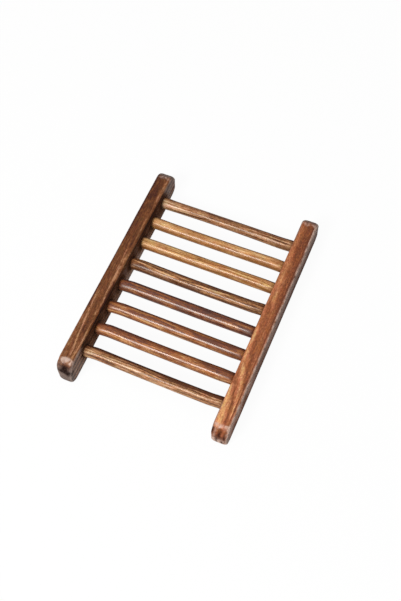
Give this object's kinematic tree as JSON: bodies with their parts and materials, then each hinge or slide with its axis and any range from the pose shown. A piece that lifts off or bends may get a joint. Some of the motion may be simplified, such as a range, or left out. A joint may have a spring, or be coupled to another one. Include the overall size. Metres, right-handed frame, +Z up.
{
  "type": "soap dish",
  "caption": "Open wooden rack for a bar of soap: two side rails joined by round dowels, with gaps between them that let water drain away.",
  "frame": {"origin": "middle of the dish's footprint, on the surface that it stands on", "axes": "+Y along the rails, +Z up, +X along the dowels towards the right rail"},
  "size_m": [0.085, 0.12, 0.014],
  "materials": {
    "rail_left": "scorched and oiled, satin sheen",
    "rail_right": "scorched and oiled, satin sheen",
    "dowel_1": "scorched and oiled, satin sheen",
    "dowel_2": "scorched and oiled, satin sheen",
    "dowel_3": "scorched and oiled, satin sheen",
    "dowel_4": "scorched and oiled, satin sheen",
    "dowel_5": "scorched and oiled, satin sheen",
    "dowel_6": "scorched and oiled, satin sheen",
    "dowel_7": "scorched and oiled, satin sheen",
    "dowel_8": "scorched and oiled, satin sheen"
  },
  "bodies": {
    "root": {"rail_left": "rail_left", "rail_right": "rail_right", "dowel_1": "dowel_1", "dowel_2": "dowel_2", "dowel_3": "dowel_3", "dowel_4": "dowel_4", "dowel_5": "dowel_5", "dowel_6": "dowel_6", "dowel_7": "dowel_7", "dowel_8": "dowel_8"}
  },
  "joints": []
}
